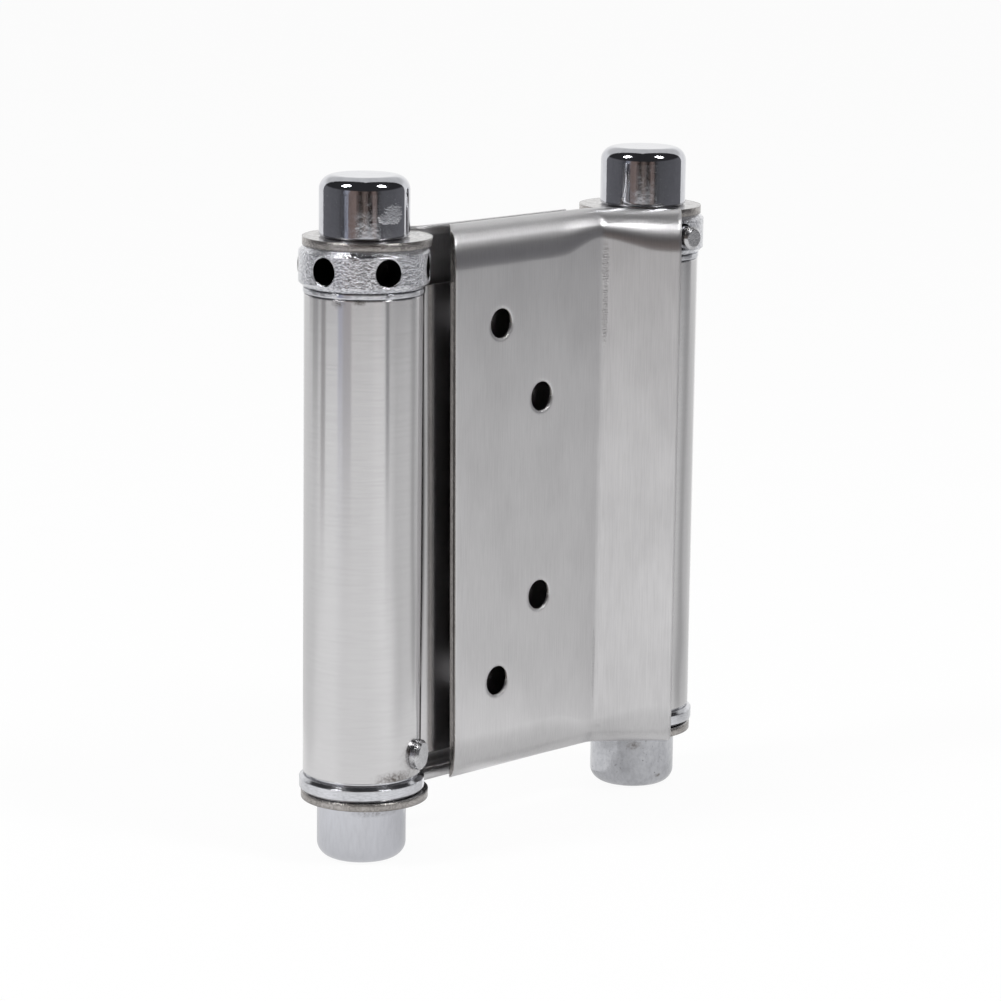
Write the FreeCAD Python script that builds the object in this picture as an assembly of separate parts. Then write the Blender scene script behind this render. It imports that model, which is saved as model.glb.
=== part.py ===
import FreeCAD, Part
import math
import os

# Double action cafe hinge, closed and standing on its two lower caps.
# Millimetres, +Z up. X runs from the left barrel to the right one and Y to the rear.
# The origin is on the floor under the middle of the web. A half turn about Z maps the hinge onto
# itself, so every piece is drawn for the right barrel, with the barrel's axis as its own Z axis.

# Whole hinge
barrel_spacing = 71.6
leaf_height = 100.0
cap_height = 10.7

# Leaves: one stamped sheet each, turned over at the top and at the bottom
leaf_sheet = 1.4
recess_face = 4.2          # outer face of the flat part, from the hinge's middle plane
leaf_reach = 52.8          # free edge, from the axis of the leaf's own barrel
free_edge_lean = 1.2       # the free edge was sheared this much out of square
flange_edge_gap = 0.3      # edge of the turned-over flange, from the middle plane
flange_rise = 0.4          # the flanges stand this far past the ears
flange_mitre = 42.0        # angle at which they are cut back at the free edge
flange_bend = 2.8
wall_angle = 41.5          # the part beside the barrel slants outwards by this
wall_past_tube = 2.95      # its outer face stands this far outside the barrel's tube
wall_past_foot = 5.8       # how far it runs on past the point nearest the axis
wall_bend = 1.5
ear_past_tube = 0.85
ear_inset = 0.7            # the ears' discs sit this far towards the hinge's middle

# Soft shoulders between the leaf's face and its flanges: the stiff corner at the wall's bend pinches them
shoulder_radius = 40.0
corner_shoulder = 3.0      # their angle at the bend
plate_shoulder = 7.2       # and over the plate, this far from the bend
plate_shoulder_run = 12.0
edge_shoulder = 8.0        # and at the free edge
wall_shoulder = 7.0        # and over the wall, this far from the bend
wall_shoulder_run = 8.0
end_shoulder = 7.8         # and at the wall's end
shoulder_margin = 1.0      # plain sheet between the steepest shoulder and the middle piece of the leaf

# Screw holes: the inner pair lies nearer the leaf's own barrel
screw_hole_radius = 2.7
screw_sink_radius = 4.3
screw_sink_lip = 0.5       # straight edge left at the outer face
outer_pair_reach = 41.7
inner_pair_reach = 31.0
outer_pair_spacing = 65.6
inner_pair_spacing = 36.8
screw_drop = 0.6           # the pattern sits a little below the leaf's middle

# Body shell: the web, rolled into a tube at each end
tube_radius = 10.45
shell_sheet = 1.2
web_bend = 2.0
seam_angle = 5.0

# Caps and spindles
cap_radius = 7.9
cap_rim_round = 2.6
cap_base_bevel = 0.35
spigot_radius = 4.8
spindle_radius = 3.0
spindle_bevel = 0.4
cap_floor = 3.5            # metal left between the spindle's end and the cap's end face

# Lower bush
bush_past_tube = 0.65
bush_flange = 2.9
bush_bevel = 0.6
bush_seat_inset = 0.45     # the narrow step that the tube stands on, from the tube's outer face
bush_seat = 0.5
bush_hub = 9.0             # height of the hub inside the tube

# Rivet through the tube into the bush
rivet_head_radius = 2.7
rivet_head = 1.4
rivet_head_bevel = 0.5
rivet_shank_radius = 1.6
rivet_shank = 4.5
rivet_turn = 113.0
rivet_rise = 3.8           # above the foot of the tube

# Washer and adjusting collar
washer = 1.1
washer_past_tube = 0.15
washer_bevel = 0.35
collar_past_tube = 0.95
collar_height = 7.15
collar_bevel = 0.9
collar_hub = 6.5           # depth of the hub inside the tube
collar_holes = 6
collar_hole_radius = 2.35
collar_hole_depth = 6.2    # the holes are blind
collar_rim_dish = 0.25     # the burr-free bevel round each hole

# Tension pins
pin_radius = 2.1
pin_length = 6.2
pin_bevel = 0.5
right_pin_turn = -95.0
left_pin_turn = -52.0
right_pin_out = 2.65       # how far the pin's head stands out of the collar
left_pin_out = 0.05

# Springs
wire_radius = 1.25
coil_inset = 1.5           # between the coil's wire and the tube round it
coil_pitch = 4.3
coil_turns = 14
chords_a_turn = 8          # the hidden coil is drawn in straight chords of a six-sided wire
wire_sides = 6
leg_step = 2.2             # the legs stand this far beside the ends of the coil
leg_nook = 1.0
leg_length = 3.0

# Clearances
press_gap = 0.02           # between pieces that are pressed together
running_gap = 0.1          # between pieces that turn on each other
hub_gap = 0.05             # between a tube and the hub in it
wire_gap = 0.1             # round a spring leg in its hole

# Drawing aids, not sizes of the hinge
past = 1.0                 # cutting tools run on past the faces that they leave by
close = 1e-4               # two places nearer than this are the same

# Worked out from the sizes above
half_spacing = barrel_spacing / 2
wall_reach = tube_radius + wall_past_tube
ear_radius = tube_radius + ear_past_tube
bush_radius = tube_radius + bush_past_tube
bush_seat_radius = tube_radius - bush_seat_inset
washer_radius = tube_radius + washer_past_tube
collar_radius = tube_radius + collar_past_tube
collar_hole_floor = collar_radius - collar_hole_depth
leaf_foot = cap_height
leaf_head = cap_height + leaf_height
leaf_middle = (leaf_foot + leaf_head) / 2
flange_head = leaf_head + flange_rise
steepest = max(corner_shoulder, plate_shoulder, edge_shoulder, wall_shoulder, end_shoulder)
shoulder_rise = (shoulder_radius - flange_bend) * math.sin(math.radians(steepest))
plate_head = flange_head - flange_bend - shoulder_rise - shoulder_margin
plate_foot = 2 * leaf_middle - plate_head
lower_ear_top = leaf_foot + leaf_sheet
upper_ear_foot = leaf_head - leaf_sheet
full_height = leaf_head + cap_height
bush_foot = lower_ear_top + running_gap
bush_seat_foot = bush_foot + bush_flange
tube_foot = bush_seat_foot + bush_seat
tube_bore = tube_radius - shell_sheet
coil_radius = tube_bore - coil_inset - wire_radius
collar_head = upper_ear_foot - running_gap
collar_foot = collar_head - collar_height
tube_head = collar_foot - running_gap - washer
hub_radius = tube_bore - hub_gap
shaft_bore = spindle_radius + running_gap
collar_hole_height = (collar_foot + collar_head) / 2

UP = FreeCAD.Vector(0, 0, 1)
ORIGIN = FreeCAD.Vector(0, 0, 0)


def vec(x, y, z=0.0):
    return FreeCAD.Vector(x, y, z)


def polar(radius, degrees, z=0.0):
    turn = math.radians(degrees)
    return FreeCAD.Vector(radius * math.cos(turn), radius * math.sin(turn), z)


def arc(centre, radius, start, end, place):
    """An arc from start to end degrees; place puts its two coordinates in space."""
    spots = []
    for degrees in (start, (start + end) / 2, end):
        turn = math.radians(degrees)
        spots.append(place(centre[0] + radius * math.cos(turn), centre[1] + radius * math.sin(turn)))
    return Part.Arc(*spots).toShape()


def close_up(edges):
    """Joins edges that are given in order with straight lines and makes a face of them."""
    loop = []
    for number, edge in enumerate(edges):
        loop.append(edge)
        here = edge.valueAt(edge.LastParameter)
        following = edges[(number + 1) % len(edges)]
        there = following.valueAt(following.FirstParameter)
        if here.distanceToPoint(there) > close:
            loop.append(Part.makeLine(here, there))
    return Part.Face(Part.Wire(loop))


def round_edges(shape):
    return [edge for edge in shape.Edges if isinstance(edge.Curve, Part.Circle)]


def ring_edges(shape, radius, height):
    """The round edges of a shape with this radius at this height."""
    found = []
    for edge in round_edges(shape):
        if abs(edge.Curve.Radius - radius) < close and abs(edge.Curve.Center.z - height) < close:
            found.append(edge)
    return found


def rod(radius, foot, head):
    """An upright cylinder on the barrel's axis, solid or as a cutting tool."""
    return Part.makeCylinder(radius, head - foot, vec(0, 0, foot))


def on_right(shape):
    moved = shape.copy()
    moved.translate(vec(half_spacing, 0))
    return moved


def on_left(shape):
    """The same piece on the left barrel, half a turn round."""
    moved = on_right(shape)
    moved.rotate(ORIGIN, UP, 180)
    return moved


def end_section(x, shoulder_angle):
    """Upright section of the leaf's upper end: plate, soft shoulder, bend and flange of one sheet."""
    tilt = math.radians(shoulder_angle)
    shoulder_foot = flange_head - flange_bend - (shoulder_radius - flange_bend) * math.sin(tilt)
    shoulder_y = shoulder_radius - recess_face
    bend_y = shoulder_y - (shoulder_radius - flange_bend) * math.cos(tilt)

    def place(y, z):
        return vec(x, y, z)

    def side(depth):
        """Edges of the sheet's face, depth inside its outer face, from the plate to the flange's edge."""
        face_y = depth - recess_face
        bend_foot = flange_head - flange_bend
        head = flange_head - depth
        return [
            Part.makeLine(place(face_y, plate_head), place(face_y, shoulder_foot)),
            arc((shoulder_y, shoulder_foot), shoulder_radius - depth, 180, 180 - shoulder_angle, place),
            arc((bend_y, bend_foot), flange_bend - depth, 180 - shoulder_angle, 90, place),
            Part.makeLine(place(bend_y, head), place(-flange_edge_gap, head)),
        ]

    base = Part.makeLine(place(-recess_face, plate_head), place(leaf_sheet - recess_face, plate_head))
    flange_edge = Part.makeLine(place(-flange_edge_gap, flange_head),
                                place(-flange_edge_gap, flange_head - leaf_sheet))
    return Part.Wire(Part.sortEdges(side(0) + side(leaf_sheet) + [base, flange_edge])[0])


def plate_section(x):
    """Upright section of the plain sheet between the leaf's shaped ends."""
    corners = [(-recess_face, plate_foot), (leaf_sheet - recess_face, plate_foot),
               (leaf_sheet - recess_face, plate_head), (-recess_face, plate_head)]
    spots = [vec(x, y, z) for y, z in corners]
    return Part.Face(Part.makePolygon(spots + [spots[0]]))


def leaf():
    slant = math.radians(wall_angle)
    along = vec(math.cos(slant), -math.sin(slant))
    bend_x = ((recess_face + wall_bend) * math.cos(slant) - wall_bend - wall_reach) / math.sin(slant)
    bend_axis = vec(bend_x, -recess_face - wall_bend)
    bent_end = bend_axis + vec(wall_bend * math.sin(slant), wall_bend * math.cos(slant))
    plate_length = leaf_reach + free_edge_lean / 2 + bend_x
    wall_length = wall_past_foot - bent_end.dot(along)

    def run(*stations):
        """The leaf's upper end over a straight run: its shoulder's angle at places beside the bend."""
        return Part.makeLoft([end_section(bend_x + place, angle) for place, angle in stations], True, True)

    def slanted(piece):
        piece.rotate(bend_axis, UP, -wall_angle)
        return piece

    upper_end = [
        run((-plate_length, edge_shoulder), (-plate_shoulder_run, plate_shoulder), (0, corner_shoulder)),
        Part.Face(end_section(bend_x, corner_shoulder)).revolve(bend_axis, UP, -wall_angle),
        slanted(run((0, corner_shoulder), (wall_shoulder_run, wall_shoulder), (wall_length, end_shoulder))),
    ]
    lower_end = [piece.mirror(vec(0, 0, leaf_middle), UP) for piece in upper_end]
    between = [
        plate_section(bend_x).revolve(bend_axis, UP, -wall_angle),
        slanted(plate_section(bend_x).extrude(vec(wall_length, 0))),
    ]
    ears = [
        Part.makeCylinder(ear_radius, leaf_sheet, vec(-ear_inset, 0, leaf_foot)),
        Part.makeCylinder(ear_radius, leaf_sheet, vec(-ear_inset, 0, upper_ear_foot)),
    ]
    plate = plate_section(bend_x).extrude(vec(-plate_length, 0))
    sheet = plate.fuse(upper_end + lower_end + between + ears).removeSplitter()
    sheet = sheet.cut(rod(spigot_radius + press_gap, leaf_foot - past, leaf_head + past))
    sheet = sheet.cut(free_edge_waste())
    for reach, spacing in ((outer_pair_reach, outer_pair_spacing), (inner_pair_reach, inner_pair_spacing)):
        for step in (-0.5, 0.5):
            sheet = sheet.cut(screw_hole(-reach, leaf_middle - screw_drop + step * spacing))
    return sheet


def free_edge_waste():
    """What the shears took off beyond the free edge, a little out of square, and off the flanges' ends."""
    foot_x = free_edge_lean / 2 - leaf_reach
    head_x = -free_edge_lean / 2 - leaf_reach
    flange_depth = recess_face - leaf_sheet
    mitre_run = flange_depth * math.tan(math.radians(flange_mitre))
    far_x = head_x - free_edge_lean - mitre_run - past
    front_y = -recess_face - past
    cut_line = [
        vec(far_x, front_y, leaf_foot - past),
        vec(foot_x, front_y, leaf_foot - past),
        vec(foot_x, front_y, leaf_foot),
        vec(head_x, front_y, leaf_head),
        vec(head_x, front_y, leaf_head + past),
        vec(far_x, front_y, leaf_head + past),
    ]
    cut_face = Part.Face(Part.makePolygon(cut_line + [cut_line[0]]))
    square = cut_face.extrude(vec(0, past + leaf_sheet))
    cut_face.translate(vec(0, past + leaf_sheet))
    mitre = cut_face.extrude(vec(mitre_run, flange_depth))
    return square.fuse(mitre)


def screw_hole(x, z):
    """A hole through the flat part, countersunk on the inner face for a flush screw head."""
    rear = vec(0, 1, 0)
    hole = Part.makeCylinder(screw_hole_radius, leaf_sheet + past, vec(x, -recess_face - past, z), rear)
    sink_foot = vec(x, screw_sink_lip - recess_face, z)
    sink = Part.makeCone(screw_hole_radius, screw_sink_radius, leaf_sheet - screw_sink_lip, sink_foot, rear)
    return hole.fuse(sink)


def body_shell():
    """One sheet: the web in the middle plane, rolled into a tube at each end."""
    half_sheet = shell_sheet / 2
    middle_radius = tube_radius - half_sheet
    bend_reach = math.sqrt((middle_radius + web_bend) ** 2 - web_bend ** 2)
    meet = math.degrees(math.atan2(web_bend, bend_reach))
    height = tube_head - tube_foot

    def place(x, y):
        return vec(x - half_spacing, y, tube_foot)

    half = [
        arc((bend_reach, web_bend), web_bend + half_sheet, 270, 180 + meet, place),
        arc((0, 0), tube_bore, meet, 360 - seam_angle, place),
        arc((0, 0), tube_radius, 360 - seam_angle, meet, place),
        arc((bend_reach, web_bend), web_bend - half_sheet, 180 + meet, 270, place),
    ]
    other = []
    for edge in half:
        copy = edge.copy()
        copy.rotate(ORIGIN, UP, 180)
        other.append(copy)
    shell = close_up(half + other).extrude(vec(0, 0, height))
    hole = rivet_shaft(rivet_shank_radius + press_gap, tube_bore - past, tube_radius + past)
    return shell.cut([on_right(hole), on_left(hole)])


def cap():
    """A turned cap for the top: domed rim, a spigot through the ear and a blind bore."""
    knob = rod(cap_radius, leaf_head, full_height)
    knob = knob.makeFillet(cap_rim_round, ring_edges(knob, cap_radius, full_height))
    knob = knob.makeChamfer(cap_base_bevel, ring_edges(knob, cap_radius, leaf_head))
    spigot = rod(spigot_radius, upper_ear_foot, leaf_head)
    drill = rod(spindle_radius + press_gap, upper_ear_foot - past, full_height - cap_floor)
    return knob.fuse(spigot).cut(drill).removeSplitter()


def upside_down(shape):
    """Turned over end for end about the middle of the hinge's height."""
    flipped = shape.copy()
    flipped.rotate(vec(0, 0, full_height / 2), vec(1, 0, 0), 180)
    return flipped


def spindle():
    """The steel rod that runs through the barrel from cap to cap."""
    foot = cap_floor + press_gap
    shaft = rod(spindle_radius, foot, full_height - foot)
    return shaft.makeChamfer(spindle_bevel, round_edges(shaft))


def leg_socket(side, foot, head):
    """The hole for a spring leg, on the side of the coil's end where the leg comes."""
    return Part.makeCylinder(wire_radius + wire_gap, head - foot, vec(coil_radius, side * leg_step, foot))


def bush():
    """The lower bush: a ring on the ear, a step that the tube stands on and a hub inside it."""
    ring = rod(bush_radius, bush_foot, bush_seat_foot)
    ring = ring.makeChamfer(bush_bevel, round_edges(ring))
    step = rod(bush_seat_radius, bush_seat_foot, tube_foot)
    hub_top = tube_foot + bush_hub
    hub = rod(hub_radius, tube_foot, hub_top)
    solid = ring.fuse([step, hub])
    solid = solid.cut(rod(shaft_bore, bush_foot - past, hub_top + past))
    solid = solid.cut(leg_socket(-1, hub_top - leg_length - wire_gap, hub_top + past))
    solid = solid.cut(rivet_shaft(rivet_shank_radius + press_gap, tube_bore - rivet_shank - wire_gap, tube_bore))
    return solid.removeSplitter()


def rivet_shaft(radius, inner_end, outer_end):
    """A radial rod on the rivet's line; its ends are given by their distance from the axis."""
    start = polar(inner_end, rivet_turn, tube_foot + rivet_rise)
    return Part.makeCylinder(radius, outer_end - inner_end, start, polar(1, rivet_turn))


def rivet():
    """A drive rivet: a shank through the tube wall into the hub and a head on the tube."""
    out = polar(1, rivet_turn)
    height = tube_foot + rivet_rise
    shank = rivet_shaft(rivet_shank_radius, tube_bore - rivet_shank, tube_radius + rivet_head / 2)
    head = Part.makeCylinder(rivet_head_radius, shell_sheet + rivet_head, polar(tube_bore, rivet_turn, height), out)
    outer_rims = []
    for edge in round_edges(head):
        if edge.Curve.Center.distanceToPoint(vec(0, 0, height)) > tube_radius:
            outer_rims.append(edge)
    head = head.makeChamfer(rivet_head_bevel, outer_rims)
    head = head.cut(rod(tube_radius + press_gap, tube_foot, tube_head))
    return shank.fuse(head).removeSplitter()


def thrust_washer():
    """The thin ring between the tube and the collar, bevelled below."""
    foot = tube_head
    disc = rod(washer_radius, foot, foot + washer)
    disc = disc.makeChamfer(washer_bevel, ring_edges(disc, washer_radius, foot))
    return disc.cut(rod(tube_bore, foot - past, foot + washer + past))


def collar(turn):
    """The adjusting collar: a ring with bar holes, one of them at turn, and a hub in the tube."""
    ring = rod(collar_radius, collar_foot, collar_head)
    ring = ring.makeChamfer(collar_bevel, round_edges(ring))
    hub_foot = tube_head - collar_hub
    hub = rod(tube_bore - running_gap, hub_foot, collar_foot)
    solid = ring.fuse(hub)
    solid = solid.cut(rod(shaft_bore, hub_foot - past, collar_head + past))
    solid = solid.cut(leg_socket(1, hub_foot - past, hub_foot + leg_length + wire_gap))
    for number in range(collar_holes):
        solid = solid.cut(bar_hole(turn + number * 360 / collar_holes))
    return solid.removeSplitter()


def bar_hole(turn):
    """A blind radial hole for the bar that turns the collar, with a bevelled rim."""
    out = polar(1, turn)
    floor = polar(collar_hole_floor, turn, collar_hole_height)
    rim = polar(collar_radius - collar_rim_dish, turn, collar_hole_height)
    hole = Part.makeCylinder(collar_hole_radius, collar_radius, floor, out)
    wide = collar_hole_radius + 2 * collar_rim_dish
    return hole.fuse(Part.makeCone(collar_hole_radius, wide, 2 * collar_rim_dish, rim, out))


def tension_pin(turn, stand_out):
    """A headless pin in the collar's hole at turn, its outer end stand_out beyond the collar."""
    inner_end = polar(collar_radius + stand_out - pin_length, turn, collar_hole_height)
    pin = Part.makeCylinder(pin_radius, pin_length, inner_end, polar(1, turn))
    return pin.makeChamfer(pin_bevel, round_edges(pin))


def spring():
    """A torsion spring between the two hubs: a coil with an upright leg at each end."""
    hub_top = tube_foot + bush_hub
    hub_foot = tube_head - collar_hub
    rise = coil_turns * coil_pitch
    coil_foot = (hub_top + hub_foot - rise) / 2
    steps = coil_turns * chords_a_turn
    route = [
        vec(coil_radius, -leg_step, hub_top - leg_length),
        vec(coil_radius, -leg_step, coil_foot - leg_nook),
        vec(coil_radius, -leg_step + leg_nook, coil_foot),
    ]
    for step in range(steps + 1):
        route.append(polar(coil_radius, step * 360 / chords_a_turn, coil_foot + rise * step / steps))
    route += [
        vec(coil_radius, leg_step - leg_nook, coil_foot + rise),
        vec(coil_radius, leg_step, coil_foot + rise + leg_nook),
        vec(coil_radius, leg_step, hub_foot + leg_length),
    ]
    section = []
    for side in range(wire_sides):
        section.append(route[0] + polar(wire_radius, side * 360 / wire_sides))
    outline = Part.makePolygon(section + [section[0]])
    solid, frenet, mitred = True, False, 1
    return Part.makePolygon(route).makePipeShell([outline], solid, frenet, mitred)


def save(name, shape):
    if len(shape.Solids) != 1 or not shape.isValid():
        raise ValueError(name + " is not one valid solid")
    shape.Solids[0].exportStep("parts/" + name + ".step")


def main():
    os.makedirs("parts", exist_ok=True)
    save("body_shell", body_shell())
    save("front_leaf", on_right(leaf()))
    save("rear_leaf", on_left(leaf()))
    both = {
        "top_cap": cap(),
        "bottom_cap": upside_down(cap()),
        "spindle": spindle(),
        "bush": bush(),
        "rivet": rivet(),
        "washer": thrust_washer(),
        "spring": spring(),
    }
    for name, piece in both.items():
        save("right_" + name, on_right(piece))
        save("left_" + name, on_left(piece))
    save("right_collar", on_right(collar(right_pin_turn)))
    save("left_collar", on_left(collar(left_pin_turn)))
    save("right_pin", on_right(tension_pin(right_pin_turn, right_pin_out)))
    save("left_pin", on_left(tension_pin(left_pin_turn, left_pin_out)))


main()
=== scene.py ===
import math

import bpy
from mathutils import Matrix, Vector


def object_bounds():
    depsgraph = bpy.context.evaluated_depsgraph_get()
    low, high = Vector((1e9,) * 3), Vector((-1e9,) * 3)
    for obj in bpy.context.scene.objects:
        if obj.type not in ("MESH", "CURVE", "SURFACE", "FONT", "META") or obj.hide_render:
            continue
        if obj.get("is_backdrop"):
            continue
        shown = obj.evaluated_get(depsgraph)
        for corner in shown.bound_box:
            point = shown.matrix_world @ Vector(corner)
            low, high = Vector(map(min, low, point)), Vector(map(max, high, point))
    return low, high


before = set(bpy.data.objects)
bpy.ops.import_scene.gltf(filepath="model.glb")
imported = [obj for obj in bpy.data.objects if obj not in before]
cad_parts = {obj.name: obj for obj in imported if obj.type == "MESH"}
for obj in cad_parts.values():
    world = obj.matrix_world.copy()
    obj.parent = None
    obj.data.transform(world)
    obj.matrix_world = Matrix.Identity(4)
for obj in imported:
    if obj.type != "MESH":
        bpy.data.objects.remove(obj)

MM = 0.001

# Camera at the photograph's viewing angle
CAMERA_AZIMUTH = -46.0
CAMERA_PITCH = 11.52
CAMERA_ROLL = 0.73
CAMERA_DISTANCE = 676.1 * MM
CAMERA_TARGET = Vector((-1.2, 0.0, 59.4)) * MM
CAMERA_LENS = 133.85
CAMERA_SENSOR = 36.0
CAMERA_CLIP = (0.01, 50.0)

# Places on the hinge that the materials need
BARREL_X = 35.8 * MM
EAR_INSET = 0.7 * MM
EAR_RADIUS = 11.3 * MM
EAR_FEET = (10.7 * MM, 109.3 * MM)
LEAF_SHEET = 1.4 * MM
COLLAR_HOLE_HEIGHT = 105.6 * MM
COLLAR_HOLE_RADIUS = 2.45 * MM
COLLAR_HOLE_REACH = (4.8 * MM, 11.1 * MM)
FREE_EDGE = -15.0 * MM                      # the leaf's free edge lies past here
WALL_END = BARREL_X - 6 * MM                # and the end of its slanted wall past here,
WALL_FRONT = -EAR_RADIUS * 0.9              # in front of here
LEAF_MIDDLE = 60.7 * MM
LEAF_CREASE = 19.5 * MM
SCREW_HOLES = ((-5.9, 32.8), (4.8, 18.4))   # across the leaf, and up or down from its middle, in millimetres
SCREW_HOLE_RADIUS = 2.7 * MM
HEIGHT_SLACK = 0.05 * MM
RADIUS_SLACK = 0.1 * MM

# How squarely a face looks out of the ear as its rim, along the leaf as a cut, or up or down as level; the
# wall of a screw hole looks to the leaf's front by less than its own share
RIM_FACING = 0.9
CUT_FACING = 0.6
LEVEL_FACING = 0.95
HOLE_FACING = 0.5

# The leaf's pressed ends, as heights above or below its middle
PRESSED_FROM = (42.6 * MM, 45.2 * MM)       # they begin here, and at the crease only here
CREASE_REACH = 10 * MM                      # the crease holds them back this far to either side
BEND_FROM = 48.0 * MM
BEND_REACH = 2.0 * MM
PRESSED_SLOPE = 0.46

# The metals' finish. Four numbers are noise from and to, and what it gives below and above
LEVEL_BLUR = (1.0, 0.013, 0.017)            # brushed upright: reflections blur to the sides
UPRIGHT_BLUR = (0.013, 0.017, 1.0)          # polished round and round: reflections blur up and down
LINE_WEAR = (0.35, 0.7, 0.0, 0.45)
PATCH_WEAR = (0.35, 0.75, 0.0, 0.5)
LINE_DULLING = (0.3, 0.75)
PATCH_DULLING = (0.3, 0.8)
PATCH_STRETCH = 2                           # worn patches are this much higher than wide
PATCH_RIM = 1.1                             # soft patches end at this share of their reach
PIT_EDGE = 0.08                             # how softly the pits begin
RUB_WEAR = 0.7
# Speckled darkened patches: soiling on some parts and painted shade on others
DARKENING_GRAIN = (0.5 * MM, 0.4 * MM)
DARKENING_SPECKS = (0.3, 0.7, 0.3, 1.0)
DARKENING_RAGGED = 0.6
DARKENING_TEAR = 0.8 * MM
DARKENING_DULLING = 0.15
# the colour of painted shade laid along a gap or an edge
PAINTED_SHADE_COLOUR = "#141211"
BEVEL_SAMPLES = 6

# Studio
WHITE = (1.0, 1.0, 1.0, 1.0)
WORLD_FILL = 0.80            # the room's light on matt surfaces
CEILING_GREY = 0.70          # how pale the room is above the white backdrop, as bright metal shows it
BACKDROP_HEAD = (0.28, 0.5)  # the white ends here and plain grey begins, as the upward share of a ray's way
FLOOR_SIZE = 8.0
FLOOR_GREYS = ("#f1f1f1", "#eeeeee")
FLOOR_MOTTLE = 40 * MM
FLOOR_WHITE_SHARE = 0.93     # how far the floor is lifted to plain white; the rest keeps the shadow
FLOOR_DROP = 0.05 * MM

# Soft lamps: name, how far to the lens's right, how far away from the lens, and height, in metres
LAMPS = (("left_softbox", -0.6, -0.34, 0.85), ("right_softbox", 0.58, -0.36, 0.86))
LAMP_SIZE = (0.3, 0.2)
LAMP_POWER = 4.0

# Glowing sheets that paint the reflections of the dim room and the table round the lens, which only reflections
# show
SCREEN_REACH = (900 * MM, 770 * MM)         # the room's walls: towards the lens and to its sides
SCREEN_HEIGHT = 1450 * MM
SCREEN_SPREAD = 118
SCREEN_PARTS = 59
HOOD_REACH = 60 * MM                        # the dark ceiling ends this far before the hinge
ROOM_DARK = "#333335"
BAND_SPREAD = 150                           # bands are painted this far round to either side of the lens
BAND_HEAD = (320 * MM, 420 * MM)            # the walls' bands end here and plain dark begins
BAND_WAVE = math.radians(45)                # how unevenly the bands' edges run
BAND_GRAIN = (90 * MM, 3 * MM)
TABLE_REACH = 5 * MM                        # pale sheets on the table begin this far from the hinge's middle
TABLE_RISE = 0.02 * MM
# the painted shadow of the hinge on the table sheets: their glow dims towards the hinge's middle
TABLE_SHADE = (12 * MM, 75 * MM, 0.72)      # darkest up to here, plain from here, and how light at the darkest
TABLE_EVEN = (75 * MM, 105 * MM)            # one tone all round up to here, and the sheets' own from here
TABLE_TONE = "#f6f6f6"
THING_PARTS = 3

# Painted reflections of things on the table, as glowing sheets: first and last degrees from the lens, how far off
# they begin, and their colour
THINGS_ON_TABLE = ((45, 52, 400 * MM, "#8c8c8e"), (-43, -26, 440 * MM, "#c0c0c4"),
                   (-52, -43, 580 * MM, "#a9abc0"), (-85, -76, 430 * MM, "#b4b2b2"),
                   (-106, -92, 560 * MM, "#bdbdbd"))


def linear(code):
    """A hex colour as it looks on a screen, as linear light with alpha."""
    shares = [int(code[place:place + 2], 16) / 255 for place in (1, 3, 5)]
    light = [s / 12.92 if s <= 0.04045 else ((s + 0.055) / 1.055) ** 2.4 for s in shares]
    return (*light, 1.0)


def add(tree, kind, inputs=None, values=None, **settings):
    """Adds a shader node: its settings, the sockets that feed its inputs and its constant values."""
    made = tree.nodes.new("ShaderNode" + kind)
    for name, value in settings.items():
        setattr(made, name, value)
    for name, value in (values or {}).items():
        made.inputs[name].default_value = value
    for name, source in (inputs or {}).items():
        tree.links.new(source, made.inputs[name])
    return made


def blank_material(name):
    """A new material without nodes, and its node tree."""
    made = bpy.data.materials.new(name)
    made.use_nodes = True
    made.node_tree.nodes.clear()
    return made, made.node_tree


def save_bounds(stage_name, store={}):
    low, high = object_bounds()
    store[stage_name] = [list(low), list(high)]


def noise(tree, coords, across, along, detail=3.0, roughness=0.55, shift=0.0):
    """Noise whose grains are across wide and along high, in metres."""
    scaled = add(tree, "Mapping", {"Vector": coords},
                 {"Scale": (1 / across, 1 / across, 1 / along), "Location": (shift, shift, shift)})
    return add(tree, "TexNoise", {"Vector": scaled.outputs["Vector"]},
               {"Scale": 1.0, "Detail": detail, "Roughness": roughness}).outputs["Fac"]


def remap(tree, source, low, high, to_low, to_high):
    """Maps low..high of a value softly to to_low..to_high and holds it there outside."""
    return add(tree, "MapRange", {"Value": source},
               {"From Min": low, "From Max": high, "To Min": to_low, "To Max": to_high},
               interpolation_type="SMOOTHSTEP").outputs["Result"]


def combine(tree, operation, first, second):
    """Two sockets, or a socket and a number, put together by one kind of sum."""
    if isinstance(second, (int, float)):
        return add(tree, "Math", {0: first}, {1: second}, operation=operation).outputs[0]
    return add(tree, "Math", {0: first, 1: second}, operation=operation).outputs[0]


def sum_of(tree, *sources):
    """All the sockets added up."""
    total = sources[0]
    for source in sources[1:]:
        total = combine(tree, "ADD", total, source)
    return total


def patch_at(tree, coords, centre, reach, ragged=0.0, grain=0.6 * MM, core=0.6):
    """1 in a soft patch round a place on the hinge and 0 outside it; centre and reach in millimetres. The patch
    is full up to the core's share of its reach, and a ragged one has a torn outline."""
    away = add(tree, "VectorMath", {0: coords}, {1: Vector(centre) * MM}, operation="SUBTRACT")
    share = add(tree, "VectorMath", {0: away.outputs[0]}, {1: Vector(reach) * MM}, operation="DIVIDE")
    length = add(tree, "VectorMath", {0: share.outputs[0]}, operation="LENGTH").outputs["Value"]
    if ragged:
        torn = noise(tree, coords, grain, grain, shift=5.0)
        length = sum_of(tree, length, combine(tree, "MULTIPLY", torn, ragged))
    return remap(tree, length, core + ragged / 2, PATCH_RIM + ragged / 2, 1.0, 0.0)


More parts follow.
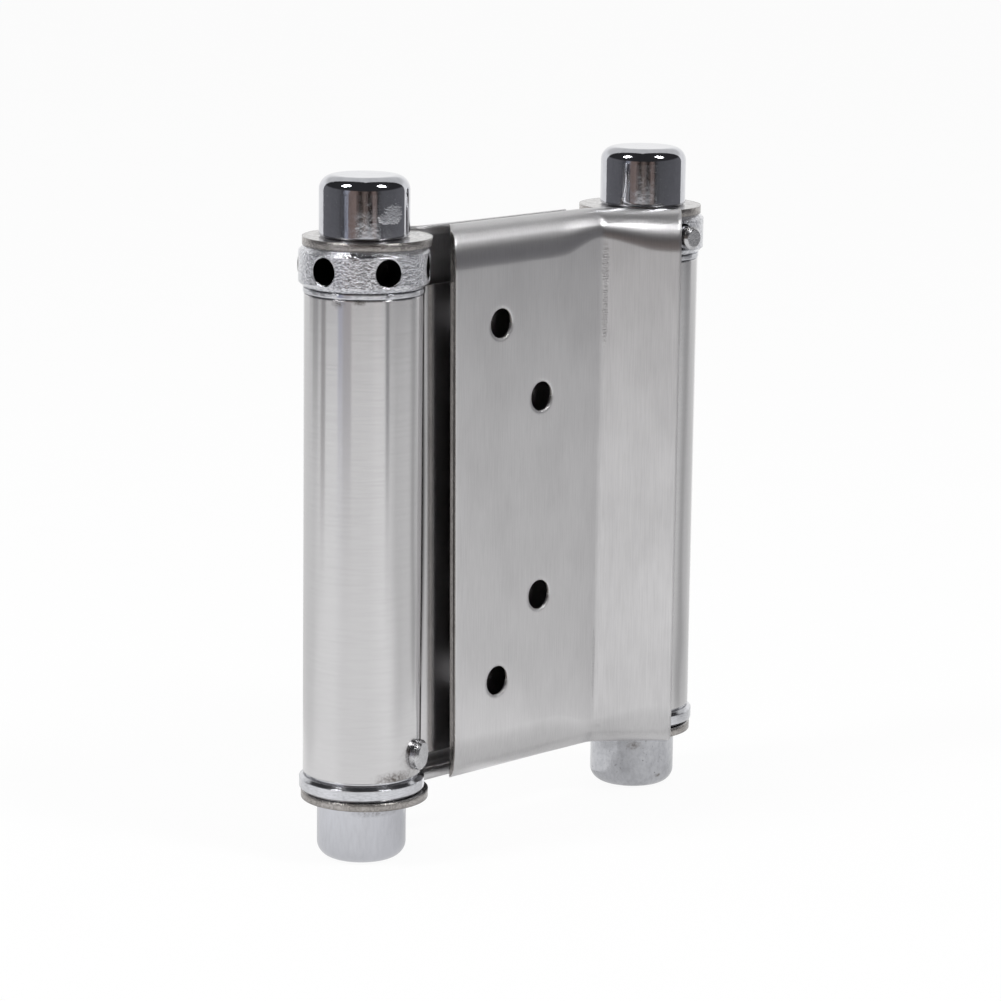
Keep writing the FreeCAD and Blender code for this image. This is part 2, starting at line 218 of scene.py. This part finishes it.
def patches_at(tree, coords, places, ragged=0.0, grain=0.6 * MM, core=0.6):
    """1 in any of several soft patches, each given as its centre and its reach."""
    share = patch_at(tree, coords, *places[0], ragged, grain, core)
    for place in places[1:]:
        share = combine(tree, "MAXIMUM", share, patch_at(tree, coords, *place, ragged, grain, core))
    return share


def pressed_ends(tree, coords):
    """How far a leaf's face falls away towards its pressed ends, as a height. The fall begins nearer the end
    at the crease, and eases off over the bend, which the sheet itself has."""
    place = add(tree, "SeparateXYZ", {0: coords})
    side = add(tree, "Math", {0: place.outputs["Y"]}, operation="SIGN").outputs[0]
    across = combine(tree, "MULTIPLY", place.outputs["X"], combine(tree, "MULTIPLY", side, -1.0))
    past_crease = combine(tree, "SUBTRACT", across, LEAF_CREASE)
    from_crease = add(tree, "Math", {0: past_crease}, operation="ABSOLUTE").outputs[0]
    start = remap(tree, from_crease, 0.0, CREASE_REACH, PRESSED_FROM[1], PRESSED_FROM[0])
    above_middle = combine(tree, "SUBTRACT", place.outputs["Z"], LEAF_MIDDLE)
    from_middle = add(tree, "Math", {0: above_middle}, operation="ABSOLUTE").outputs[0]
    past_start = combine(tree, "MAXIMUM", combine(tree, "SUBTRACT", from_middle, start), 0.0)
    reach = add(tree, "Math", {1: start}, {0: BEND_FROM}, operation="SUBTRACT").outputs[0]
    pressed = combine(tree, "MINIMUM", past_start, reach)
    fall = combine(tree, "DIVIDE", combine(tree, "MULTIPLY", pressed, pressed), reach)
    past_bend = combine(tree, "MAXIMUM", combine(tree, "SUBTRACT", from_middle, BEND_FROM), 0.0)
    bent = combine(tree, "MINIMUM", past_bend, BEND_REACH)
    ease = combine(tree, "MULTIPLY", combine(tree, "MULTIPLY", bent, bent), 0.5 / BEND_REACH)
    over_bend = combine(tree, "SUBTRACT", bent, ease)
    return sum_of(tree, combine(tree, "MULTIPLY", fall, -PRESSED_SLOPE / 2),
                  combine(tree, "MULTIPLY", over_bend, -PRESSED_SLOPE))


def metal(name, colour, worn, roughness, rough_spread, grain, grain_depth, blur=None, blur_share=0.0,
          wave=None, wave_depth=0.0, pits=None, pit_depth=0.0, pit_share=0.35, rounding=0.3 * MM, patches=9 * MM,
          rubs=None, rub_grain=(0.5 * MM, 0.4 * MM), rub_depth=0.0, rub_ragged=0.5, rub_dull=0.18,
          soil_and_shade=None, painted_shade_lines=None, soil_and_shade_colour="#67605b", shape=None):
    """A plated metal. grain is the (across, along) size of its brush lines, wave that of its unevenness and
    pits that of its small pits; the depths are in metres. Worn patches and lines turn it to the worn colour.
    blur is the way in which its brushing blurs reflections and blur_share how much. rubs are rough, dulled
    places, with ragged outlines. Darkened patches are soiling on some parts and painted shade on others, and
    shade lines are painted shade along a gap or an edge. shape gives a height of its own for the sheet's pressing."""
    made, tree = blank_material(name)
    coords = add(tree, "TexCoord").outputs["Object"]
    lines = noise(tree, coords, *grain, detail=4.0, roughness=0.6)
    patch = noise(tree, coords, patches, patches * PATCH_STRETCH, detail=5.0, roughness=0.6, shift=7.3)
    wear = sum_of(tree, remap(tree, lines, *LINE_WEAR), remap(tree, patch, *PATCH_WEAR))
    dull = sum_of(tree, remap(tree, lines, *LINE_DULLING, roughness - rough_spread, roughness + rough_spread),
                  remap(tree, patch, *PATCH_DULLING, 0.0, rough_spread))
    heights = [combine(tree, "MULTIPLY", lines, grain_depth)]
    if wave:
        uneven = noise(tree, coords, wave, wave, detail=2.0, roughness=0.5, shift=3.1)
        heights.append(combine(tree, "MULTIPLY", uneven, wave_depth))
    if shape:
        heights.append(shape(tree, coords))
    if pits:
        spots = noise(tree, coords, pits, pits, detail=2.0, roughness=0.5, shift=11.0)
        pit = remap(tree, spots, pit_share - PIT_EDGE, pit_share, 1.0, 0.0)
        heights.append(combine(tree, "MULTIPLY", pit, -pit_depth))
        wear = combine(tree, "MAXIMUM", wear, pit)
    if rubs:
        rubbed = patches_at(tree, coords, rubs, ragged=rub_ragged, grain=rub_grain[0])
        chatter = noise(tree, coords, *rub_grain, detail=3.0, shift=2.0)
        heights.append(combine(tree, "MULTIPLY", combine(tree, "MULTIPLY", rubbed, chatter), rub_depth))
        dull = sum_of(tree, dull, combine(tree, "MULTIPLY", rubbed, rub_dull))
        wear = combine(tree, "MAXIMUM", wear, combine(tree, "MULTIPLY", rubbed, RUB_WEAR))
    paint = add(tree, "Mix", {0: wear}, {6: linear(colour), 7: linear(worn)}, data_type="RGBA").outputs[2]
    # speckled patches darkened towards a dull brown: soiling on the caps, painted shade round the barrel's rivet,
    # and darker patches above its ring and under its washer
    if soil_and_shade:
        specks = remap(tree, noise(tree, coords, *DARKENING_GRAIN, detail=5.0, shift=9.0), *DARKENING_SPECKS)
        darkened_places = patches_at(tree, coords, soil_and_shade, ragged=DARKENING_RAGGED, grain=DARKENING_TEAR, core=0.0)
        darkening = combine(tree, "MULTIPLY", darkened_places, specks)
        paint = add(tree, "Mix", {0: darkening, 6: paint}, {7: linear(soil_and_shade_colour)}, data_type="RGBA").outputs[2]
        dull = sum_of(tree, dull, combine(tree, "MULTIPLY", darkening, DARKENING_DULLING))
    # lines of painted shade along a gap or an edge
    if painted_shade_lines:
        shaded_share = patches_at(tree, coords, painted_shade_lines)
        paint = add(tree, "Mix", {0: shaded_share, 6: paint}, {7: linear(PAINTED_SHADE_COLOUR)}, data_type="RGBA").outputs[2]
    edge = add(tree, "Bevel", values={"Radius": rounding}, samples=BEVEL_SAMPLES)
    bump = add(tree, "Bump", {"Height": sum_of(tree, *heights), "Normal": edge.outputs[0]},
               {"Strength": 1.0, "Distance": 1.0})
    shader = add(tree, "BsdfPrincipled",
                 {"Base Color": paint, "Roughness": dull, "Normal": bump.outputs[0]},
                 {"Metallic": 1.0, "Anisotropic": blur_share})
    if blur:
        way = add(tree, "CombineXYZ", values=dict(zip("XYZ", blur)))
        tree.links.new(way.outputs[0], shader.inputs["Tangent"])
    add(tree, "OutputMaterial", {"Surface": shader.outputs[0]})
    return made


def satin_leaf():
    """Satin nickel plate over pressed sheet: fine upright brush lines, drawn coarser than real to show at this
    size, and the marks of the press along the crease."""
    return metal("satin_leaf_plate", "#dcdbdc", "#cdcccd", 0.36, 0.02, (0.2 * MM, 7 * MM), 0.0008 * MM,
                 blur=LEVEL_BLUR, blur_share=0.75, wave=14 * MM, wave_depth=0.012 * MM,
                 rubs=[((20.9, -4.0, 100.5), (0.6, 2.0, 5.0)), ((20.9, -4.0, 92.0), (0.5, 2.0, 7.0)),
                       ((19.8, -4.2, 26.0), (0.4, 2.0, 9.0)), ((21.2, -4.2, 14.2), (0.7, 1.0, 0.7))],
                 rub_grain=(0.9 * MM, 0.24 * MM), rub_depth=0.07 * MM, rub_ragged=0.7, rub_dull=0.08,
                 rounding=1.0 * MM, shape=pressed_ends)


def satin_ear():
    """The same plate on the leaf's level ears, rubbed smoother by the caps and collars that turn on them."""
    return metal("rubbed_ear_plate", "#c6c4c3", "#a5a3a1", 0.2, 0.05, (0.5 * MM, 0.5 * MM), 0.0008 * MM,
                 wave=3 * MM, wave_depth=0.004 * MM, rounding=0.9 * MM, patches=1.5 * MM)


def polished_barrel():
    """Rolled tube with a satin plate, polished round and round: soft upright bands in its shine, faint level
    lines, painted shade round the rivet and in the gap beside the web, and darker speckled patches above the
    ring and under the washer."""
    return metal("satin_barrel_plate", "#d4d3d4", "#d0cfd0", 0.175, 0.012, (7 * MM, 0.35 * MM), 0.0002 * MM,
                 blur=UPRIGHT_BLUR, blur_share=0.5, wave=9 * MM, wave_depth=0.005 * MM, patches=12 * MM,
                 # the first patch paints shade round the rivet's head; the others darken the plate above the ring
                 # and under the washer
                 soil_and_shade=[((-32.3, -9.5, 19.4), (4.6, 3.0, 3.6)), ((-37.5, -10.3, 16.2), (6.0, 2.5, 1.6)),
                       ((-45.3, -3.6, 100.3), (1.2, 1.5, 1.1)), ((-43.5, -6.8, 100.6), (1.4, 1.5, 0.7))],
                 # painted shade along the gap between the rolled tube's edge and the web
                 painted_shade_lines=[((-23.3, -0.6, 60.0), (2.4, 1.2, 50.0))])


def mirror_cap():
    """Bright chrome on the top caps: a mirror with slight ripples, a few pinholes and a scuffed place."""
    return metal("mirror_cap_plate", "#d1d2d7", "#bdbec3", 0.05, 0.02, (1.4 * MM, 2.2 * MM), 0.0006 * MM,
                 wave=1.6 * MM, wave_depth=0.005 * MM, pits=0.35 * MM, pit_depth=0.006 * MM, pit_share=0.27,
                 rubs=[((-38.2, -7.5, 114.6), (1.2, 1.3, 0.9)), ((-36.4, -7.8, 115.3), (2.0, 1.6, 1.6))],
                 rub_grain=(0.4 * MM, 0.2 * MM), rub_depth=0.03 * MM, rub_ragged=1.15, rub_dull=0.16)


def clouded_cap():
    """Dulled chrome on the right lower cap: cloudy, with small dark pits."""
    return metal("clouded_cap_plate", "#c3c4c8", "#a6a7ab", 0.19, 0.03, (0.9 * MM, 1.2 * MM), 0.001 * MM,
                 wave=2.0 * MM, wave_depth=0.01 * MM, pits=0.55 * MM, pit_depth=0.04 * MM, pit_share=0.33,
                 patches=5.0 * MM,
                 soil_and_shade=[((34.7, -7.8, 2.4), (0.8, 0.8, 0.5)), ((29.5, -6.2, 8.6), (2.2, 2.2, 1.6))])


def soft_cap():
    """Chrome on the left lower cap, clouded and lightly pitted, with grime under the ear."""
    return metal("soft_cap_plate", "#cecfd5", "#c5c6cb", 0.2, 0.03, (0.6 * MM, 3 * MM), 0.0004 * MM,
                 wave=4 * MM, wave_depth=0.006 * MM, pits=0.4 * MM, pit_depth=0.02 * MM, pit_share=0.25,
                 patches=6 * MM, soil_and_shade=[((-37.0, -5.0, 9.6), (6.0, 4.0, 1.2))], soil_and_shade_colour="#57534f")


def cast_plate():
    """Bright chrome over a bumpy casting, as on the adjusting collars: it sparkles."""
    return metal("cast_collar_plate", "#eeeff4", "#a4a5a9", 0.08, 0.02, (0.5 * MM, 0.36 * MM), 0.1 * MM,
                 wave=0.65 * MM, wave_depth=0.1 * MM, pits=0.4 * MM, pit_depth=0.05 * MM, pit_share=0.36)


def dark_bore():
    """Bare metal inside the collar's holes, black with old oil."""
    return metal("oiled_bore", "#2b2928", "#171615", 0.4, 0.06, (0.4 * MM, 0.4 * MM), 0.004 * MM)


def bright_ring():
    """Bright chrome on the turned rings and washers: near mirror with faint turning lines."""
    return metal("bright_ring_plate", "#dddee3", "#b4b5b8", 0.12, 0.04, (0.9 * MM, 0.2 * MM), 0.003 * MM,
                 wave=2.5 * MM, wave_depth=0.008 * MM)


def sheared_edge():
    """The cut edges of the sheet: rough, with short shear lines, and a line of painted shade along the front
    leaf's free edge, next to its outer face.
    """
    return metal("sheared_edge", "#bcb8b5", "#6f6b68", 0.18, 0.04, (0.3 * MM, 0.3 * MM), 0.05 * MM,
                 wave=0.9 * MM, wave_depth=0.05 * MM, rounding=0.9 * MM,
                 # painted shade: a dark line on the front leaf's free edge, next to its outer face
                 painted_shade_lines=[((-17.0, -3.75, 60.7), (2.0, 0.16, 49.0))])


def plain_steel():
    """Drawn steel, dulled by oil and handling."""
    return metal("drawn_steel", "#d3d3d5", "#a0a0a2", 0.25, 0.05, (0.4 * MM, 0.4 * MM), 0.02 * MM,
                 wave=1.2 * MM, wave_depth=0.035 * MM)


def spring_steel():
    """Spring wire, dark from heat and oil."""
    return metal("oiled_spring_steel", "#4a4846", "#2c2a29", 0.38, 0.06, (0.4 * MM, 0.4 * MM), 0.003 * MM)


def dress(node, *materials):
    """Gives a piece its materials, the first of them for all faces that aren't marked otherwise."""
    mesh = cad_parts[node].data
    mesh.materials.clear()
    for material in materials:
        mesh.materials.append(material)


def on_sheared_edge(point, normal, side):
    """Whether a face of the leaf on the right (side 1) or left (side -1) barrel is a cut edge of its sheet."""
    x, y = point.x * side, point.y * side
    facing_x, facing_y = normal.x * side, normal.y * side
    from_ear = Vector((x - BARREL_X + EAR_INSET, y))
    at_ear_height = any(foot - HEIGHT_SLACK < point.z < foot + LEAF_SHEET + HEIGHT_SLACK for foot in EAR_FEET)
    outward = Vector((facing_x, facing_y)).dot(from_ear.normalized()) if from_ear.length else 0
    on_ear_rim = at_ear_height and from_ear.length > EAR_RADIUS - RADIUS_SLACK and outward > RIM_FACING
    on_free_edge = facing_x < -CUT_FACING and x < FREE_EDGE
    on_wall_end = x > WALL_END and facing_x > CUT_FACING and y < WALL_FRONT
    height = abs(point.z - LEAF_MIDDLE)
    near_hole = any(math.hypot(x - across * MM, height - up * MM) < SCREW_HOLE_RADIUS + RADIUS_SLACK
                    for across, up in SCREW_HOLES)
    in_hole = abs(facing_y) < HOLE_FACING and near_hole
    return on_ear_rim or on_free_edge or on_wall_end or in_hole


def mark_edges(node, side):
    """Gives a leaf's cut edges and its level ears their own finishes."""
    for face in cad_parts[node].data.polygons:
        level = abs(face.normal.z) > LEVEL_FACING
        from_ear = math.hypot(face.center.x * side - BARREL_X + EAR_INSET, face.center.y)
        if on_sheared_edge(face.center, face.normal, side):
            face.material_index = 1
        elif level and from_ear < EAR_RADIUS + RADIUS_SLACK:
            face.material_index = 2
        else:
            face.material_index = 0


def mark_bores(node, side):
    """Gives the holes of a collar their dark inside."""
    low, high = COLLAR_HOLE_REACH
    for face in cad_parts[node].data.polygons:
        reach = math.hypot(face.center.x - side * BARREL_X, face.center.y)
        inside = low < reach < high and abs(face.center.z - COLLAR_HOLE_HEIGHT) < COLLAR_HOLE_RADIUS
        face.material_index = 1 if inside else 0


def dress_hinge():
    """Makes every finish once and gives it to the pieces that have it."""
    leaf, edge, ear, barrel = satin_leaf(), sheared_edge(), satin_ear(), polished_barrel()
    mirror, cast, bore, ring = mirror_cap(), cast_plate(), dark_bore(), bright_ring()
    steel, spring = plain_steel(), spring_steel()
    dress("body_shell", barrel)
    for node, side in (("front_leaf", 1), ("rear_leaf", -1)):
        dress(node, leaf, edge, ear)
        mark_edges(node, side)
    for side, way, low_cap in (("left", -1, soft_cap()), ("right", 1, clouded_cap())):
        dress(side + "_top_cap", mirror)
        dress(side + "_bottom_cap", low_cap)
        dress(side + "_collar", cast, bore)
        mark_bores(side + "_collar", way)
        for piece, material in (("bush", ring), ("washer", ring), ("rivet", steel), ("pin", steel),
                                ("spindle", steel), ("spring", spring)):
            dress(side + "_" + piece, material)


def seen_directly(tree):
    """1 for rays from the camera, a reflection or glass, and 0 for rays that only gather light."""
    path = add(tree, "LightPath")
    either = combine(tree, "MAXIMUM", path.outputs["Is Camera Ray"], path.outputs["Is Glossy Ray"])
    return combine(tree, "MAXIMUM", either, path.outputs["Is Transmission Ray"])


def make_world():
    """White round the horizon and a little greyer overhead."""
    world = bpy.data.worlds.new("studio")
    bpy.context.scene.world = world
    world.use_nodes = True
    tree = world.node_tree
    tree.nodes.clear()
    way = add(tree, "SeparateXYZ", {0: add(tree, "TexCoord").outputs["Generated"]})
    overhead = remap(tree, way.outputs["Z"], *BACKDROP_HEAD, 0.0, 1.0)
    paint = add(tree, "Mix", {0: overhead},
                {6: WHITE, 7: (CEILING_GREY, CEILING_GREY, CEILING_GREY, 1.0)}, data_type="RGBA")
    strength = remap(tree, seen_directly(tree), 0.0, 1.0, WORLD_FILL, 1.0)
    light = add(tree, "Background", {"Strength": strength, "Color": paint.outputs[2]})
    add(tree, "OutputWorld", {"Surface": light.outputs[0]})


def sheet(name, corners, faces, matrix, material):
    """A surface of the studio, which isn't part of the hinge."""
    mesh = bpy.data.meshes.new(name)
    mesh.from_pydata([tuple(corner) for corner in corners], [], faces)
    mesh.materials.append(material)
    made = bpy.data.objects.new(name, mesh)
    made.matrix_world = matrix
    bpy.context.scene.collection.objects.link(made)
    made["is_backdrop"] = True
    return made


def make_floor():
    """A pale matt floor that looks white where no shadow falls."""
    material, tree = blank_material("pale_floor")
    coords = add(tree, "TexCoord").outputs["Object"]
    mottle = remap(tree, noise(tree, coords, FLOOR_MOTTLE, FLOOR_MOTTLE), 0.3, 0.7, 0.0, 1.0)
    paint = add(tree, "Mix", {0: mottle}, {6: linear(FLOOR_GREYS[0]), 7: linear(FLOOR_GREYS[1])},
                data_type="RGBA")
    matt = add(tree, "BsdfDiffuse", {"Color": paint.outputs[2]})
    white = add(tree, "Emission", values={"Color": WHITE, "Strength": 1.0})
    share = combine(tree, "MULTIPLY", seen_directly(tree), FLOOR_WHITE_SHARE)
    mixed = add(tree, "MixShader", {0: share, 1: matt.outputs[0], 2: white.outputs[0]})
    add(tree, "OutputMaterial", {"Surface": mixed.outputs[0]})
    half = FLOOR_SIZE / 2
    corners = [(-half, -half, 0), (half, -half, 0), (half, half, 0), (-half, half, 0)]
    sheet("floor", corners, [(0, 1, 2, 3)], Matrix.Translation((0, 0, -FLOOR_DROP)), material)


def paint_by_bands(tree, coords, bands):
    """Colours that change with the way from the hinge: degrees from the lens and the colour there."""
    place = add(tree, "SeparateXYZ", {0: coords})
    angle = combine(tree, "ARCTAN2", place.outputs["Y"], place.outputs["X"])
    wavy = combine(tree, "SUBTRACT", noise(tree, coords, *BAND_GRAIN), 0.5)
    bent = sum_of(tree, angle, combine(tree, "MULTIPLY", wavy, BAND_WAVE))
    turn = math.radians(BAND_SPREAD)
    share = add(tree, "MapRange", {"Value": bent}, {"From Min": -turn, "From Max": turn}).outputs["Result"]
    ramp = add(tree, "ValToRGB", {0: share})
    stops = ramp.color_ramp.elements
    stops.remove(stops[1])
    for index, (degrees, code) in enumerate(bands):
        position = (degrees + BAND_SPREAD) / (2 * BAND_SPREAD)
        stop = stops[0] if index == 0 else stops.new(position)
        stop.position = position
        stop.color = linear(code)
    return ramp.outputs["Color"]


def screen_paint():
    """A painted reflection of the dim room round the lens, glowing, with lighter and darker things that stand in
    it.
    """
    bands = [(-118, "#727276"), (-70, "#66666a"), (-56, "#545458"), (-48, "#3c3c40"), (-46, "#b9bdcb"),
             (-41, "#c4c8d6"), (-39, "#2c2a2a"), (-37, "#7f706b"), (-17, "#887771"), (-14, "#171515"),
             (-6, "#151313"), (-4, "#74675f"), (6, "#776b66"), (8, "#110f0f"), (17, "#131111"),
             (20, "#83736d"), (28, "#8b7b75"), (30, "#171515"), (34, "#3a393a"), (42, "#5c5c5f"), (118, "#6e6e72")]
    material, tree = blank_material("dim_room_screen")
    coords = add(tree, "TexCoord").outputs["Object"]
    height = add(tree, "SeparateXYZ", {0: coords}).outputs["Z"]
    low = remap(tree, height, *BAND_HEAD, 1.0, 0.0)
    colour = add(tree, "Mix", {0: low, 7: paint_by_bands(tree, coords, bands)}, {6: linear(ROOM_DARK)},
                 data_type="RGBA")
    glow = add(tree, "Emission", {"Color": colour.outputs[2]}, {"Strength": 1.0})
    add(tree, "OutputMaterial", {"Surface": glow.outputs[0]})
    return material


def table_paint():
    """Glowing pale sheets on the table round the lens's side, a little greyer to its right, with a painted
    shadow of the hinge round its middle.
    """
    bands = [(-139, "#e2e2e2"), (-97, "#e8e8e8"), (-76, "#fbfbfb"), (-51, "#fcfcfc"), (-35, "#f3f3f3"),
             (5, "#f3f3f3"), (31, "#fdfdfd"), (40, "#fbfbfb"), (50, "#e4e4e4"), (63, "#d6d6d6"), (74, "#dcdcdc"),
             (97, "#dfdfdf"), (104, "#bcbcbc"), (114, "#b2b2b2"), (122, "#cfcfcf"), (149, "#e0e0e0")]
    material, tree = blank_material("pale_table_sheet")
    coords = add(tree, "TexCoord").outputs["Object"]
    away = add(tree, "VectorMath", {0: coords}, operation="LENGTH").outputs["Value"]
    # painted shadow of the hinge: the glow dims towards the hinge's middle
    shade = remap(tree, away, *TABLE_SHADE, 1.0)
    sheets = remap(tree, away, *TABLE_EVEN, 0.0, 1.0)
    colour = add(tree, "Mix", {0: sheets, 7: paint_by_bands(tree, coords, bands)}, {6: linear(TABLE_TONE)},
                 data_type="RGBA")
    glow = add(tree, "Emission", {"Color": colour.outputs[2], "Strength": shade})
    add(tree, "OutputMaterial", {"Surface": glow.outputs[0]})
    return material


def plain_glow(name, code):
    """One colour that shines by itself, for a thing that only reflections show."""
    material, tree = blank_material(name)
    glow = add(tree, "Emission", values={"Color": linear(code), "Strength": 1.0})
    add(tree, "OutputMaterial", {"Surface": glow.outputs[0]})
    return material


def fan(first_degrees, last_degrees, parts, rims):
    """Strips between rims, each of which gives a place for an angle; the angle is measured from the lens."""
    corners, faces = [], []
    for part in range(parts + 1):
        angle = math.radians(first_degrees + (last_degrees - first_degrees) * part / parts)
        corners += [rim(angle) for rim in rims]
    for part in range(parts):
        for rim in range(len(rims) - 1):
            near = part * len(rims) + rim
            faces.append((near, near + len(rims), near + len(rims) + 1, near + 1))
    return corners, faces


def around(share, height):
    """A rim at a share of the screens' reach, given as a function of the angle."""
    ahead, aside = share * SCREEN_REACH[0], share * SCREEN_REACH[1]
    return lambda angle: (ahead * math.cos(angle), aside * math.sin(angle), height)


def make_screens():
    """Glowing sheets that paint the reflections of dim screens and a dark ceiling round the lens's side, and of
    sheets and things on the table. Only the metal's reflections show them: the lens looks past them, and they
    neither light the hinge nor throw a shadow."""
    toward_lens = Matrix.Rotation(math.radians(CAMERA_AZIMUTH - 90), 4, "Z")
    inner = HOOD_REACH / SCREEN_REACH[0]
    room = fan(-SCREEN_SPREAD, SCREEN_SPREAD, SCREEN_PARTS,
               [around(1, 0), around(1, SCREEN_HEIGHT), around(inner, SCREEN_HEIGHT)])
    table = fan(-BAND_SPREAD, BAND_SPREAD, SCREEN_PARTS,
                [around(TABLE_REACH / SCREEN_REACH[0], TABLE_RISE), around(1, TABLE_RISE)])
    dim, pale = screen_paint(), table_paint()
    made = [sheet("room_screens", *room, toward_lens, dim), sheet("table_sheets", *table, toward_lens, pale)]
    for index, (first, last, reach, code) in enumerate(THINGS_ON_TABLE):
        name = "thing_on_table_%d" % index
        thing = fan(first, last, THING_PARTS,
                    [around(reach / SCREEN_REACH[0], 2 * TABLE_RISE), around(1, 2 * TABLE_RISE)])
        made.append(sheet(name, *thing, toward_lens, plain_glow(name, code)))
    for piece in made:
        piece.visible_camera = False
        piece.visible_diffuse = False
        piece.visible_shadow = False


def softbox(name, aside, back, height):
    """A soft lamp aimed at the hinge: aside is to the lens's right and back is away from the lens."""
    turn = math.radians(CAMERA_AZIMUTH)
    rightward = Vector((math.cos(turn), math.sin(turn), 0))
    onward = Vector((-math.sin(turn), math.cos(turn), 0))
    place = rightward * aside + onward * back + Vector((0, 0, height))
    away = (place - CAMERA_TARGET).normalized()
    across = onward.cross(away).normalized()
    lamp = bpy.data.lights.new(name, "AREA")
    lamp.shape = "RECTANGLE"
    lamp.size, lamp.size_y = LAMP_SIZE
    lamp.energy = LAMP_POWER
    made = bpy.data.objects.new(name, lamp)
    turned = Matrix((across, away.cross(across), away)).transposed().to_4x4()
    made.matrix_world = Matrix.Translation(place) @ turned
    bpy.context.scene.collection.objects.link(made)


def make_camera():
    """The scene's camera, which looks at the hinge as the photograph does."""
    azimuth, pitch, roll = (math.radians(angle) for angle in (CAMERA_AZIMUTH, CAMERA_PITCH, CAMERA_ROLL))
    ahead = Vector((-math.sin(azimuth) * math.cos(pitch), math.cos(azimuth) * math.cos(pitch), -math.sin(pitch)))
    level = Vector((math.cos(azimuth), math.sin(azimuth), 0))
    above = level.cross(ahead)
    right = level * math.cos(roll) + above * math.sin(roll)
    top = above * math.cos(roll) - level * math.sin(roll)
    lens = bpy.data.cameras.new("photo_camera")
    lens.lens, lens.sensor_width = CAMERA_LENS, CAMERA_SENSOR
    lens.clip_start, lens.clip_end = CAMERA_CLIP
    made = bpy.data.objects.new("photo_camera", lens)
    turn = Matrix((right, top, -ahead)).transposed().to_4x4()
    made.matrix_world = Matrix.Translation(CAMERA_TARGET - ahead * CAMERA_DISTANCE) @ turn
    bpy.context.scene.collection.objects.link(made)
    bpy.context.scene.camera = made


save_bounds("after_load")
bpy.context.scene.view_settings.view_transform = "Standard"
dress_hinge()
make_world()
make_floor()
make_screens()
for lamp_name, right_of_lens, off_lens, lamp_height in LAMPS:
    softbox(lamp_name, right_of_lens, off_lens, lamp_height)
make_camera()
save_bounds("before_finish")
